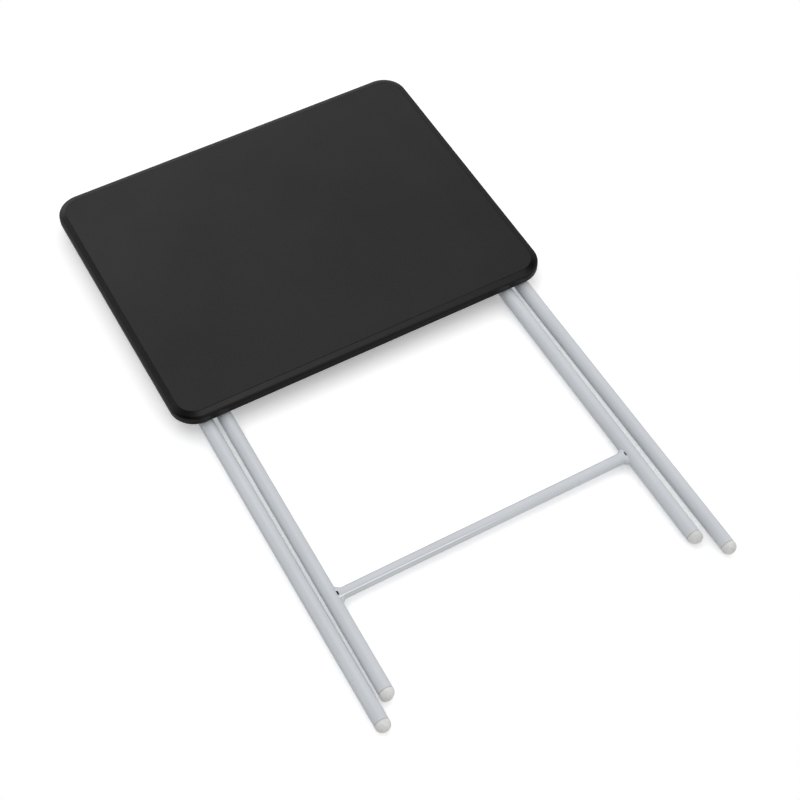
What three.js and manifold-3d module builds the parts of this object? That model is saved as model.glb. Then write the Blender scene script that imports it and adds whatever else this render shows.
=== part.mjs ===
// Folding tray table: a black board on two nested tubular leg frames that cross at a
// scissor pivot. It is modelled folded flat, lying with the legs under the board.
// Millimetres, +Z up, +X along the board's long side, +Y towards the hinge side.
// Origin: centre of the folded table's bounding box, on the surface it lies on.
import * as THREE from 'three';
import { mergeVertices } from 'three/addons/utils/BufferGeometryUtils.js';
import Module from 'manifold-3d';

const wasm = await Module();
wasm.setup();

// ---- driving dimensions -------------------------------------------------------------
const BOARD_W = 482.5;           // board, along X
const BOARD_D = 383.6;           // board, along Y
const BOARD_T = 15;             // board thickness
const BOARD_CORNER_R = 31;      // plan radius of the corners
const NOSE_IN = 8.3;            // sloping edge: how far it reaches in from the side
const NOSE_TILT = 18;           // its fall away from the facing, in degrees
const NOSE_R = 4.0;             // rounding from the slope to the side
const UNDER_R = 2.8;            // rounding of the lower arris
const RECESS_INSET = 8.3;       // shallow recess for the facing
const RECESS_DEPTH = 1.1;
const FACING_INSET = 8.6;
const FACING_T = 0.8;

const TUBE_R = 8.5;             // leg tubes, outside radius
const TUBE_WALL = 0.9;
const GAP = 0.3;                // clearance between neighbouring pieces
const AXIS_DROP = TUBE_R + GAP; // tube axis below the board's underside
const BRACKET_DROP = 20.1;      // lowest point of the brackets below the underside

const HINGE_Y = 140;            // top tube of the outer frame, from the board's centre
const PIVOT_Y = -172;           // scissor pivot, from the board's centre
const FOOT_OUTER_Y = -605.5;    // reference points of the outer frame's feet
const FOOT_INNER_Y = -577.25;   // and of the inner frame's feet
const OUTER_X = 209.25;         // half spacing of the outer legs at SPLAY_Y
const INNER_X = 186.85;         // half spacing of the inner legs at SPLAY_Y
const SPLAY_Y = -200;
const SPLAY = 0.0062;           // the legs spread slightly towards the feet
const OUTER_BEND_R = 55;
const INNER_BEND_R = 34;

const BAR_Y = -455;             // lower crossbar
const BAR_R = 6.75;
const BAR_WALL = 0.9;
const BAR_FLARE_LEN = 11;       // length over which the ends are spread onto the legs
const BAR_FLARE_W = 10.2;       // half width of a spread end
const BAR_FLARE_H = 5.8;        // half height of a spread end
const BAR_SLOT = [4, 8];        // open notch left in the top of each end, along X and Y
const BAR_SLOT_DY = -1.6;       // the slots sit a little towards the feet

const CAP_R = 8.9;              // from the foot's reference point to the tip of its dome
const CAP_SIDE_R = 8.6;         // radius of a foot cap
const CAP_DOME = 7.6;           // length of the dome along the leg
const CAP_SLEEVE = 0.9;         // where the cap meets the tube, from the reference point
const CAP_PLUG_R = 7.2;
const CAP_PLUG_LEN = 14;

const STRAP_X = 125;
const STRAP_W = 22;
const STRAP_RI = 9.0;
const STRAP_RO = 11.3;
const STRAP_FLANGE = 38;
const STRAP_SCREW_Y = 26;
const STRAP_SCREW_DX = 5.5;

const HOOK_X = 120;
const HOOK_W = 22;
const HOOK_WALL = 2.5;
const HOOK_LIP = 7;
const HOOK_EAR_W = 13;
const HOOK_EAR_D = 11;

const SHOE_X = 80;
const SHOE_W = 16;
const SHOE_RI = 8.8;
const SHOE_RO = 10.9;

const RIVET_R = 2.9;
const RIVET_HOLE_R = 3.3;
const RIVET_HEAD_R = 5.2;
const RIVET_HEAD_H = 2.4;
const SPACER_R = 6.2;

// ---- derived ------------------------------------------------------------------------
const FRONT_TIP_Y = FOOT_OUTER_Y - CAP_R;
const BY = -(BOARD_D / 2 + FRONT_TIP_Y) / 2;   // board centre in the part's frame
const UNDER_Z = BRACKET_DROP;                  // board underside
const TOP_Z = UNDER_Z + BOARD_T;
const AXIS_Z = UNDER_Z - AXIS_DROP;            // both frames lie in this plane

// Levers of the scissor: both frames share the pivot and the ratio of their two arms,
// so the board stands level when the frames are opened.
const A1 = HINGE_Y - PIVOT_Y;
const A2 = PIVOT_Y - FOOT_OUTER_Y;
const B2 = PIVOT_Y - FOOT_INNER_Y;
const B1 = A1 * B2 / A2;
const OPEN_H = 628;                            // foot dome centre to top tube axis, open
const ALPHA = Math.asin(OPEN_H / (A1 + A2));
const BETA = Math.asin(OPEN_H / (B1 + B2));
const INNER_TOP_Y = PIVOT_Y + B1;
const CATCH_Y = HINGE_Y - A1 * Math.cos(ALPHA) - B1 * Math.cos(BETA);

// ---- materials ----------------------------------------------------------------------
const mat = (color, roughness, metalness = 0) => new THREE.MeshStandardMaterial({ color, roughness, metalness });
const BLACK_BOARD = () => mat(0x1e1d1c, 0.62);
const BLACK_FACE = () => mat(0x232220, 0.68);
const POWDER = () => mat(0xb9c2cc, 0.42, 0.1);
const CAP_WHITE = () => mat(0xd4d4cf, 0.5);
const NYLON_BLACK = () => mat(0x1c1c1e, 0.5);
const NYLON_WHITE = () => mat(0xdcdcd6, 0.45);
const STEEL = () => mat(0xb4b6b9, 0.3, 0.9);

const group = new THREE.Group();
function add(name, geometry, material) {
  const g = geometry.clone();
  g.computeVertexNormals();
  const m = new THREE.Mesh(g, material);
  m.name = name;
  group.add(m);
  return m;
}

// ---- helpers ------------------------------------------------------------------------
function toManifold(geometry) {
  const g = geometry.clone();
  g.deleteAttribute('normal');
  g.deleteAttribute('uv');
  const w = mergeVertices(g, 1e-4);
  const idx = w.index.array;
  const tris = [];
  for (let i = 0; i < idx.length; i += 3) {
    if (idx[i] !== idx[i + 1] && idx[i + 1] !== idx[i + 2] && idx[i] !== idx[i + 2]) tris.push(idx[i], idx[i + 1], idx[i + 2]);
  }
  return new wasm.Manifold(new wasm.Mesh({
    numProp: 3,
    vertProperties: new Float32Array(w.attributes.position.array),
    triVerts: new Uint32Array(tris),
  }));
}
function fromManifold(m) {
  const mesh = m.getMesh();
  const n = mesh.numProp, v = mesh.vertProperties, count = v.length / n;
  const pos = new Float32Array(count * 3);
  for (let i = 0; i < count; i++) for (let k = 0; k < 3; k++) pos[3 * i + k] = v[n * i + k];
  const g = new THREE.BufferGeometry();
  g.setAttribute('position', new THREE.BufferAttribute(pos, 3));
  g.setIndex(new THREE.BufferAttribute(new Uint32Array(mesh.triVerts), 1));
  return g;
}
function place(geometry, x, y, z, rx = 0, ry = 0, rz = 0) {
  const g = geometry.clone();
  g.applyMatrix4(new THREE.Matrix4().compose(
    new THREE.Vector3(x, y, z),
    new THREE.Quaternion().setFromEuler(new THREE.Euler(rx, ry, rz)),
    new THREE.Vector3(1, 1, 1)));
  return g;
}
// outline of the board in plan, drawn in from its side by `inset`
function boardOutline(inset) {
  const w = BOARD_W / 2 - inset, d = BOARD_D / 2 - inset, r = BOARD_CORNER_R - inset, n = 7;
  const pts = [];
  for (const [cx, cy, a0] of [[w - r, d - r, 0], [-(w - r), d - r, 90], [-(w - r), -(d - r), 180], [w - r, -(d - r), 270]]) {
    for (let i = 0; i <= n; i++) {
      const a = THREE.MathUtils.degToRad(a0 + 90 * i / n);
      pts.push([cx + r * Math.cos(a), cy + r * Math.sin(a)]);
    }
  }
  return pts;
}
// closed solid through a stack of outlines, [inset, z] from the top centre to the underside
function boardLoft(profile) {
  const rings = profile.map(([inset, z]) => boardOutline(inset).map(([x, y]) => [x, y + BY, z]));
  const n = rings[0].length, pos = [], idx = [];
  for (const r of rings) for (const p of r) pos.push(...p);
  for (let k = 0; k + 1 < rings.length; k++) {
    for (let i = 0; i < n; i++) {
      const a = k * n + i, b = k * n + (i + 1) % n, c = a + n, d = b + n;
      idx.push(a, c, b, b, c, d);
    }
  }
  const top = pos.length / 3;
  pos.push(0, BY, rings[0][0][2]);
  const bottom = top + 1;
  pos.push(0, BY, rings[rings.length - 1][0][2]);
  const last = (rings.length - 1) * n;
  for (let i = 0; i < n; i++) {
    idx.push(top, i, (i + 1) % n);
    idx.push(bottom, last + (i + 1) % n, last + i);
  }
  const g = new THREE.BufferGeometry();
  g.setAttribute('position', new THREE.Float32BufferAttribute(pos, 3));
  g.setIndex(idx);
  return g;
}
// a path through given stations, each with its own tangent
class StationCurve extends THREE.Curve {
  constructor(stations) { super(); this.stations = stations; }
  station(u) {
    const s = this.stations, f = u * (s.length - 1), i = Math.min(Math.floor(f + 1e-6), s.length - 2);
    return [s[i], s[i + 1], f - i];
  }
  getPoint(u, target = new THREE.Vector3()) {
    const [a, b, t] = this.station(u);
    return target.lerpVectors(a.p, b.p, t);
  }
  getPointAt(u, target) { return this.getPoint(u, target); }
  getTangent(u, target = new THREE.Vector3()) {
    const [a, b, t] = this.station(u);
    return target.lerpVectors(a.t, b.t, t).normalize();
  }
  getTangentAt(u, target) { return this.getTangent(u, target); }
}
function ring(ro, ri, sides) {
  const s = new THREE.Shape();
  const hole = new THREE.Path();
  for (let i = 0; i < sides; i++) {
    const a = 2 * Math.PI * i / sides;
    s[i ? 'lineTo' : 'moveTo'](ro * Math.cos(a), ro * Math.sin(a));
    hole[i ? 'lineTo' : 'moveTo'](ri * Math.cos(-a), ri * Math.sin(-a));
  }
  s.holes.push(hole);
  return s;
}
// half spacing of a frame's legs at a distance y from the board's centre
const legX = (x0, y) => x0 + SPLAY * (SPLAY_Y - y);
// U-shaped frame: foot end, leg, bend, top tube, bend, leg, foot end
function uStations(x0, topY, endY, bendR) {
  const corner = legX(x0, topY);
  const dir = new THREE.Vector3(-SPLAY, 1, 0).normalize();      // right leg, foot to top
  const phi = Math.atan2(dir.y, dir.x);                         // heading of the right leg
  const turn = Math.PI - phi;                                   // left to turn to head along -X
  const t = bendR * Math.tan(turn / 2);
  const C = new THREE.Vector3(corner, topY, 0);
  const start = C.clone().addScaledVector(dir, -t);
  const centre = start.clone().add(new THREE.Vector3(-dir.y, dir.x, 0).multiplyScalar(bendR));
  const st = [];
  const n = 8;
  st.push({ p: new THREE.Vector3(legX(x0, endY), endY, 0), t: dir.clone() });
  for (let i = 0; i <= n; i++) {
    const h = phi + turn * i / n;
    const tan = new THREE.Vector3(Math.cos(h), Math.sin(h), 0);
    st.push({ p: centre.clone().add(new THREE.Vector3(tan.y, -tan.x, 0).multiplyScalar(bendR)), t: tan });
  }
  const mirrored = st.slice().reverse().map(({ p, t: q }) => ({
    p: new THREE.Vector3(-p.x, p.y, 0), t: new THREE.Vector3(q.x, -q.y, 0),
  }));
  return st.concat(mirrored).map(({ p, t: q }) => ({ p: new THREE.Vector3(p.x, p.y + BY, AXIS_Z), t: q }));
}
function tubeAlong(stations, ro, wall, sides) {
  return new THREE.ExtrudeGeometry(ring(ro, ro - wall, sides), {
    steps: stations.length - 1, extrudePath: new StationCurve(stations), bevelEnabled: false,
  });
}
// turned solid about +X, its profile given as [x, radius]
function turnedX(profile, sides = 16) {
  const g = new THREE.LatheGeometry(profile.map(([x, r]) => new THREE.Vector2(r, x)), sides);
  g.rotateZ(-Math.PI / 2);
  return g;
}
function drillX(geometry, holes) {
  let m = toManifold(geometry);
  for (const [x, y, z, r, len] of holes) {
    const c = new THREE.CylinderGeometry(r, r, len, 20);
    c.rotateZ(Math.PI / 2);
    m = m.subtract(toManifold(place(c, x, y, z)));
  }
  return fromManifold(m);
}
function drillZ(geometry, holes) {
  let m = toManifold(geometry);
  for (const [x, y, z, r, len] of holes) {
    const c = new THREE.CylinderGeometry(r, r, len, 12);
    c.rotateX(Math.PI / 2);
    m = m.subtract(toManifold(place(c, x, y, z)));
  }
  return fromManifold(m);
}

// ---- board --------------------------------------------------------------------------
{
  const prof = [[RECESS_INSET, TOP_Z - RECESS_DEPTH], [RECESS_INSET, TOP_Z - 0.2]];
  const tilt = THREE.MathUtils.degToRad(NOSE_TILT);
  const fall = (NOSE_IN - NOSE_R * (1 - Math.sin(tilt))) * Math.tan(tilt);
  prof.push([NOSE_IN, TOP_Z]);
  for (let i = 0; i <= 5; i++) {
    const a = tilt + (Math.PI / 2 - tilt) * i / 5;
    prof.push([NOSE_R * (1 - Math.sin(a)), TOP_Z - fall - NOSE_R * (Math.cos(tilt) - Math.cos(a))]);
  }
  for (let i = 0; i <= 3; i++) {
    const a = Math.PI / 2 * i / 3;
    prof.push([UNDER_R * (1 - Math.cos(a)), UNDER_Z + UNDER_R * (1 - Math.sin(a))]);
  }
  // pilot holes for the screws, from below
  const holes = [];
  for (const s of [-1, 1]) {
    for (const d of [-1, 1]) {
      holes.push([s * STRAP_X + d * STRAP_SCREW_DX, HINGE_Y + BY + STRAP_SCREW_Y, UNDER_Z + 3, 1.9, 14]);
      holes.push([s * HOOK_X + d * (HOOK_W / 2 + HOOK_EAR_W / 2), CATCH_Y + BY - (STRAP_RI + HOOK_EAR_D / 2 - 0.5), UNDER_Z + 3, 1.9, 14]);
    }
  }
  add('board_core', drillZ(boardLoft(prof), holes), BLACK_BOARD());
  add('top_facing', boardLoft([[FACING_INSET + 0.25, TOP_Z], [FACING_INSET, TOP_Z - 0.25], [FACING_INSET, TOP_Z - FACING_T]]), BLACK_FACE());
}

// ---- screws -------------------------------------------------------------------------
// pan head screw: head below, shank up into the board; head seat at z = 0
function panScrew() {
  const prof = [[0, -2.2], [2.0, -2.05], [3.1, -1.5], [3.6, -0.6], [3.6, 0], [1.55, 0], [1.55, 7.6], [0, 9.2]];
  const head = new THREE.LatheGeometry(prof.map(([r, z]) => new THREE.Vector2(r, z)), 12);
  head.rotateX(Math.PI / 2);
  let m = toManifold(head);
  for (const a of [0, Math.PI / 2]) {
    m = m.subtract(toManifold(place(new THREE.BoxGeometry(4.0, 0.9, 1.6), 0, 0, -2.3, 0, 0, a)));
  }
  return fromManifold(m);
}

// ---- hinge straps -------------------------------------------------------------------
{
  const z0 = -0.05, zc = -AXIS_DROP, th = STRAP_RO - STRAP_RI;
  const s = new THREE.Shape();
  s.moveTo(STRAP_FLANGE, z0);
  s.lineTo(STRAP_RI, z0);
  s.lineTo(STRAP_RI, zc);
  s.absarc(0, zc, STRAP_RI, 0, -Math.PI, true);
  s.lineTo(-STRAP_RI, z0);
  s.lineTo(-STRAP_RO, z0);
  s.lineTo(-STRAP_RO, zc);
  s.absarc(0, zc, STRAP_RO, Math.PI, 2 * Math.PI, false);
  s.lineTo(STRAP_RO, z0 - th);
  s.lineTo(STRAP_FLANGE - 1.5, z0 - th);
  s.lineTo(STRAP_FLANGE, z0 - th + 1.2);
  const body = new THREE.ExtrudeGeometry(s, { depth: STRAP_W, steps: 1, bevelEnabled: false, curveSegments: 14 });
  // shape plane (x, y) becomes (Y, Z); extrusion becomes +X
  const m = new THREE.Matrix4().makeBasis(new THREE.Vector3(0, 1, 0), new THREE.Vector3(0, 0, 1), new THREE.Vector3(1, 0, 0));
  body.applyMatrix4(m);
  ['left', 'right'].forEach((side, k) => {
    const x = (k ? 1 : -1) * STRAP_X;
    const y = HINGE_Y + BY;
    const g = place(body, x - STRAP_W / 2, y, UNDER_Z);
    add(`hinge_strap_${side}`, drillZ(g, [-1, 1].map((d) => [x + d * STRAP_SCREW_DX, y + STRAP_SCREW_Y, UNDER_Z - 2, 1.9, 10])), NYLON_BLACK());
    [-1, 1].forEach((d, j) => {
      add(`hinge_strap_screw_${2 * k + j + 1}`, place(panScrew(), x + d * STRAP_SCREW_DX, y + STRAP_SCREW_Y, UNDER_Z + z0 - th - 0.05), STEEL());
    });
  });
}

// ---- latch hooks --------------------------------------------------------------------
{
  const z0 = -0.05, zc = -AXIS_DROP, ri = STRAP_RI, lipZ = -BRACKET_DROP;
  const s = new THREE.Shape();
  s.moveTo(-ri, z0);
  s.lineTo(-ri, zc);
  // quarter round under the tube, then the lip
  for (let i = 1; i <= 8; i++) {
    const a = Math.PI + Math.PI / 2 * i / 8;
    s.lineTo(ri * Math.cos(a), zc + ri * Math.sin(a) + 0.2 * i / 8);
  }
  s.lineTo(HOOK_LIP - 1.5, zc - ri + 0.2);
  s.lineTo(HOOK_LIP, zc - ri - 0.6);
  s.lineTo(HOOK_LIP, lipZ + 0.4);
  s.lineTo(HOOK_LIP - 0.4, lipZ);
  s.lineTo(-ri + 2.5, lipZ);
  s.lineTo(-ri - HOOK_WALL + 1.2, lipZ + 2.2);
  s.lineTo(-ri - HOOK_WALL, lipZ + 5.5);
  s.lineTo(-ri - HOOK_WALL, z0);
  const body = new THREE.ExtrudeGeometry(s, { depth: HOOK_W, steps: 1, bevelEnabled: false });
  const m = new THREE.Matrix4().makeBasis(new THREE.Vector3(0, 1, 0), new THREE.Vector3(0, 0, 1), new THREE.Vector3(1, 0, 0));
  body.applyMatrix4(m);
  const earY = -(STRAP_RI + HOOK_EAR_D / 2 - 0.5);
  const gusset = new THREE.Shape();
  gusset.moveTo(-ri - HOOK_WALL + 0.5, z0);
  gusset.lineTo(-ri - HOOK_WALL + 0.5, z0 - 11);
  gusset.lineTo(-ri - HOOK_WALL - 6.5, z0 - 2);
  gusset.lineTo(-ri - HOOK_WALL - 6.5, z0);
  const rib = new THREE.ExtrudeGeometry(gusset, { depth: 2.2, steps: 1, bevelEnabled: false });
  rib.applyMatrix4(m);
  ['left', 'right'].forEach((side, k) => {
    const x = (k ? 1 : -1) * HOOK_X;
    const y = CATCH_Y + BY;
    let solid = toManifold(place(body, x - HOOK_W / 2, y, UNDER_Z));
    const ear = new THREE.BoxGeometry(HOOK_W + 2 * HOOK_EAR_W, HOOK_EAR_D, 2.4);
    solid = solid.add(toManifold(place(ear, x, y + earY, UNDER_Z + z0 - 1.2)));
    solid = solid.add(toManifold(place(rib, x - 1.1, y, UNDER_Z)));
    for (const d of [-1, 1]) {
      const c = new THREE.CylinderGeometry(1.9, 1.9, 10, 16);
      c.rotateX(Math.PI / 2);
      solid = solid.subtract(toManifold(place(c, x + d * (HOOK_W / 2 + HOOK_EAR_W / 2), y + earY, UNDER_Z - 2)));
    }
    add(`latch_hook_${side}`, fromManifold(solid), NYLON_BLACK());
    [-1, 1].forEach((d, j) => {
      add(`latch_screw_${2 * k + j + 1}`, place(panScrew(), x + d * (HOOK_W / 2 + HOOK_EAR_W / 2), y + earY, UNDER_Z + z0 - 2.4 - 0.05), STEEL());
    });
  });
}

// ---- outer frame --------------------------------------------------------------------
const pivotOuterX = legX(OUTER_X, PIVOT_Y), pivotInnerX = legX(INNER_X, PIVOT_Y);
const outerSeamY = FOOT_OUTER_Y + CAP_SLEEVE, innerSeamY = FOOT_INNER_Y + CAP_SLEEVE;
{
  const tube = tubeAlong(uStations(OUTER_X, HINGE_Y, outerSeamY + GAP, OUTER_BEND_R), TUBE_R, TUBE_WALL, 20);
  const holes = [-1, 1].map((s) => [s * pivotOuterX, PIVOT_Y + BY, AXIS_Z, RIVET_HOLE_R, 24]);
  add('outer_frame_tube', drillX(tube, holes), POWDER());
}
{
  const tube = tubeAlong(uStations(INNER_X, INNER_TOP_Y, innerSeamY + GAP, INNER_BEND_R), TUBE_R, TUBE_WALL, 20);
  const holes = [-1, 1].map((s) => [s * pivotInnerX, PIVOT_Y + BY, AXIS_Z, RIVET_HOLE_R, 24]);
  add('inner_frame_tube', drillX(tube, holes), POWDER());
}

// ---- foot caps ----------------------------------------------------------------------
function footCap() {
  // axis along +Z here: plug at the +Z end, dome at the -Z end, reference point at z = 0
  const p = [];
  const n = 6;
  for (let i = 0; i <= n; i++) {
    const a = Math.PI / 2 * i / n;
    p.push(new THREE.Vector2(CAP_SIDE_R * Math.sin(a), CAP_DOME - CAP_R - CAP_DOME * Math.cos(a)));
  }
  p[0].x = 0;
  p.push(new THREE.Vector2(CAP_SIDE_R, CAP_SLEEVE));
  p.push(new THREE.Vector2(CAP_PLUG_R, CAP_SLEEVE));
  p.push(new THREE.Vector2(CAP_PLUG_R, CAP_SLEEVE + CAP_PLUG_LEN - 1));
  p.push(new THREE.Vector2(CAP_PLUG_R - 1, CAP_SLEEVE + CAP_PLUG_LEN));
  p.push(new THREE.Vector2(0, CAP_SLEEVE + CAP_PLUG_LEN));
  return new THREE.LatheGeometry(p, 20);
}
for (const [frame, x0, footY] of [['outer', OUTER_X, FOOT_OUTER_Y], ['inner', INNER_X, FOOT_INNER_Y]]) {
  for (const [side, s] of [['left', -1], ['right', 1]]) {
    const g = footCap();
    g.rotateX(Math.PI / 2);            // lathe axis (+Y) -> +Z
    g.rotateX(-Math.PI / 2);           // -> +Y, plug towards the board
    g.rotateZ(s * SPLAY);
    add(`${frame}_foot_cap_${side}`, place(g, s * legX(x0, footY), footY + BY, AXIS_Z), CAP_WHITE());
  }
}

// ---- lower crossbar -----------------------------------------------------------------
{
  const half = legX(INNER_X, BAR_Y) - 1.0;
  const st = [];
  const xs = [-half];
  xs.push(-half + TUBE_R - 3.5);
  for (let i = 0; i <= 5; i++) xs.push(-half + TUBE_R + BAR_FLARE_LEN * i / 5);
  const all = xs.concat(xs.slice().reverse().map((x) => -x));
  for (const x of all) st.push({ p: new THREE.Vector3(x, 0, 0), t: new THREE.Vector3(1, 0, 0) });
  const bar = tubeAlong(st, BAR_R, BAR_WALL, 20);
  // spread the ends: wider along Y, a little lower along Z
  const pos = bar.attributes.position;
  for (let i = 0; i < pos.count; i++) {
    const d = half - TUBE_R - Math.abs(pos.getX(i));
    let f = THREE.MathUtils.clamp(1 - d / BAR_FLARE_LEN, 0, 1);
    f = f * f * (3 - 2 * f);
    const r = Math.hypot(pos.getY(i), pos.getZ(i)), inner = r < BAR_R - BAR_WALL / 2;
    const w = inner ? BAR_FLARE_W - BAR_WALL : BAR_FLARE_W, h = inner ? BAR_FLARE_H - BAR_WALL : BAR_FLARE_H;
    const base = inner ? BAR_R - BAR_WALL : BAR_R;
    pos.setY(i, pos.getY(i) * (1 + f * (w / base - 1)));
    pos.setZ(i, pos.getZ(i) * (1 + f * (h / base - 1)));
  }
  let m = toManifold(place(bar, 0, BAR_Y + BY, AXIS_Z));
  for (const s of [-1, 1]) {
    const c = new THREE.CylinderGeometry(TUBE_R + GAP, TUBE_R + GAP, 60, 32);
    c.rotateZ(s * SPLAY);
    m = m.subtract(toManifold(place(c, s * legX(INNER_X, BAR_Y), BAR_Y + BY, AXIS_Z)));
    // open slot where the top of the end stops short of the leg
    m = m.subtract(toManifold(place(new THREE.BoxGeometry(BAR_SLOT[0], BAR_SLOT[1], 6), s * (legX(INNER_X, BAR_Y) - 6.9), BAR_Y + BAR_SLOT_DY + BY, AXIS_Z + 5.2)));
    // nothing is left beyond the leg's axis
    m = m.subtract(toManifold(place(new THREE.BoxGeometry(20, 60, 40), s * (legX(INNER_X, BAR_Y) + 10), BAR_Y + BY, AXIS_Z)));
  }
  add('lower_crossbar', fromManifold(m), POWDER());
}

// ---- scissor rivets -----------------------------------------------------------------
{
  const outerIn = pivotOuterX - TUBE_R, outerOut = pivotOuterX + TUBE_R;
  const innerIn = pivotInnerX - TUBE_R, innerOut = pivotInnerX + TUBE_R;
  const split = outerIn - 2.3;                       // end of the outer half, inside the gap
  const H = RIVET_HEAD_H;
  const dome = (x0, dir) => [[x0, RIVET_HEAD_R], [x0 + dir * 0.7, RIVET_HEAD_R], [x0 + dir * H * 0.72, RIVET_HEAD_R * 0.78], [x0 + dir * H * 0.94, RIVET_HEAD_R * 0.42], [x0 + dir * H, 0]];
  for (const [side, s] of [['left', -1], ['right', 1]]) {
    const y = PIVOT_Y + BY;
    const mirror = (g) => {
      if (s > 0) return g;
      const k = g.clone();
      k.rotateZ(Math.PI);
      return k;
    };
    const outer = [[split, 0], [split, RIVET_R], [outerOut + GAP, RIVET_R], ...dome(outerOut + GAP, 1)];
    add(`pivot_rivet_outer_${side}`, place(mirror(turnedX(outer)), 0, y, AXIS_Z), STEEL());
    const inner = [...dome(innerIn - GAP, -1).reverse(), [innerIn - GAP, RIVET_R], [split - 0.5, RIVET_R], [split - 0.5, 0]];
    add(`pivot_rivet_inner_${side}`, place(mirror(turnedX(inner)), 0, y, AXIS_Z), STEEL());
    const spacer = [[outerIn - GAP, RIVET_R + 0.3], [outerIn - GAP, SPACER_R], [split, SPACER_R], [split, RIVET_R + 0.3], [outerIn - GAP, RIVET_R + 0.3]];
    add(`pivot_spacer_${side}`, place(mirror(turnedX(spacer.reverse())), 0, y, AXIS_Z), NYLON_WHITE());
  }
}

// ---- glide shoes --------------------------------------------------------------------
{
  const top = TUBE_R + 0.0;                       // flat on top, level with the tube's crest
  const aI = Math.asin(top / SHOE_RI), aO = Math.asin(top / SHOE_RO);
  const s = new THREE.Shape();
  const n = 22;
  for (let i = 0; i <= n; i++) {
    const a = aO - (2 * Math.PI - (Math.PI - 2 * aO)) * i / n;
    s[i ? 'lineTo' : 'moveTo'](SHOE_RO * Math.cos(a), SHOE_RO * Math.sin(a));
  }
  for (let i = n; i >= 0; i--) {
    const a = aI - (2 * Math.PI - (Math.PI - 2 * aI)) * i / n;
    s.lineTo(SHOE_RI * Math.cos(a), SHOE_RI * Math.sin(a));
  }
  const body = new THREE.ExtrudeGeometry(s, { depth: SHOE_W, steps: 1, bevelEnabled: false });
  body.applyMatrix4(new THREE.Matrix4().makeBasis(new THREE.Vector3(0, 1, 0), new THREE.Vector3(0, 0, 1), new THREE.Vector3(1, 0, 0)));
  for (const [side, k] of [['left', -1], ['right', 1]]) {
    add(`glide_shoe_${side}`, place(body, k * SHOE_X - SHOE_W / 2, INNER_TOP_Y + BY, AXIS_Z), NYLON_WHITE());
  }
}

export default group;
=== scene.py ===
import math

import bmesh
import bpy
import numpy as np
from mathutils import Matrix, Vector


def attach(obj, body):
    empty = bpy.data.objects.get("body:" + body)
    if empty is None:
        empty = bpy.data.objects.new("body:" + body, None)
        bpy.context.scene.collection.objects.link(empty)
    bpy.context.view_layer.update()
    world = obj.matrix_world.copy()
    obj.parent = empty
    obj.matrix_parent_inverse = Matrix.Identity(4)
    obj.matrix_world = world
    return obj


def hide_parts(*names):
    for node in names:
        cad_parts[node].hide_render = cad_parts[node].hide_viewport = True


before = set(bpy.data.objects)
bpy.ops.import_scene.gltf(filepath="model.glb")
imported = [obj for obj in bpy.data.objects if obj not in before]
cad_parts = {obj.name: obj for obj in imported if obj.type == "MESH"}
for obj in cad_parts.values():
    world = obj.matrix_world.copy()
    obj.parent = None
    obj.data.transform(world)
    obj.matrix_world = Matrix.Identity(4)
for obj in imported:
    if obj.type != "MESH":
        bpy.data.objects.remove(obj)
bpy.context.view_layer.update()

# ======================================================================================
# Folding tray table, folded flat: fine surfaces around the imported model.
# Lengths below are in millimetres in the row's frame and become metres in each mesh.
# ======================================================================================
MM = 0.001
scene = bpy.context.scene

# ---- dimensions shared with the CAD ---------------------------------------------------
BOARD_W, BOARD_D, BOARD_T, BOARD_R = 482.5, 383.6, 15.0, 31.0
NOSE_IN, NOSE_TILT, NOSE_R, UNDER_R = 8.3, 18.0, 4.0, 2.8
RECESS_INSET, RECESS_DEPTH, FACING_INSET, FACING_T = 8.3, 1.1, 8.6, 0.8
TUBE_R, TUBE_WALL, GAP = 8.5, 0.9, 0.3
UNDER_Z = 20.1
TOP_Z = UNDER_Z + BOARD_T
AXIS_Z = UNDER_Z - TUBE_R - GAP
BY = 211.3
HINGE_Y, PIVOT_Y, FOOT_OUTER_Y, FOOT_INNER_Y = 140.0, -172.0, -605.5, -577.25
OUTER_X, INNER_X, SPLAY_Y, SPLAY = 209.25, 186.85, -200.0, 0.0062
OUTER_BEND_R, INNER_BEND_R = 55.0, 34.0
FEET_LEAN = 2.3
BAR_Y, BAR_R, BAR_WALL = -455.0, 6.75, 0.9
CAP_R, CAP_SIDE_R, CAP_DOME, CAP_SLEEVE, CAP_PLUG_R, CAP_PLUG_LEN = 8.9, 8.6, 7.6, 0.9, 7.2, 14.0
STRAP_X, STRAP_W, STRAP_RI, STRAP_RO = 125.0, 22.0, 9.0, 11.3
STRAP_FLANGE, STRAP_SCREW_Y, STRAP_SCREW_DX = 38.0, 26.0, 5.5
HOOK_X, HOOK_W, HOOK_WALL, HOOK_LIP, HOOK_EAR_W, HOOK_EAR_D = 120.0, 22.0, 2.5, 7.0, 13.0, 11.0
SHOE_X, SHOE_W, SHOE_RI, SHOE_RO = 80.0, 16.0, 8.8, 10.9
RIVET_R, RIVET_HOLE_R, RIVET_HEAD_R, RIVET_HEAD_H, SPACER_R = 2.9, 3.3, 5.2, 2.4, 6.2

A1, A2, B2 = HINGE_Y - PIVOT_Y, PIVOT_Y - FOOT_OUTER_Y, PIVOT_Y - FOOT_INNER_Y
B1 = A1 * B2 / A2
INNER_TOP_Y = PIVOT_Y + B1
ALPHA = math.asin(628.0 / (A1 + A2))
BETA = math.asin(628.0 / (B1 + B2))
CATCH_Y = HINGE_Y - A1 * math.cos(ALPHA) - B1 * math.cos(BETA)


def smooth(t):
    t = min(max(t, 0.0), 1.0)
    return t * t * (3 - 2 * t)


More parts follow.
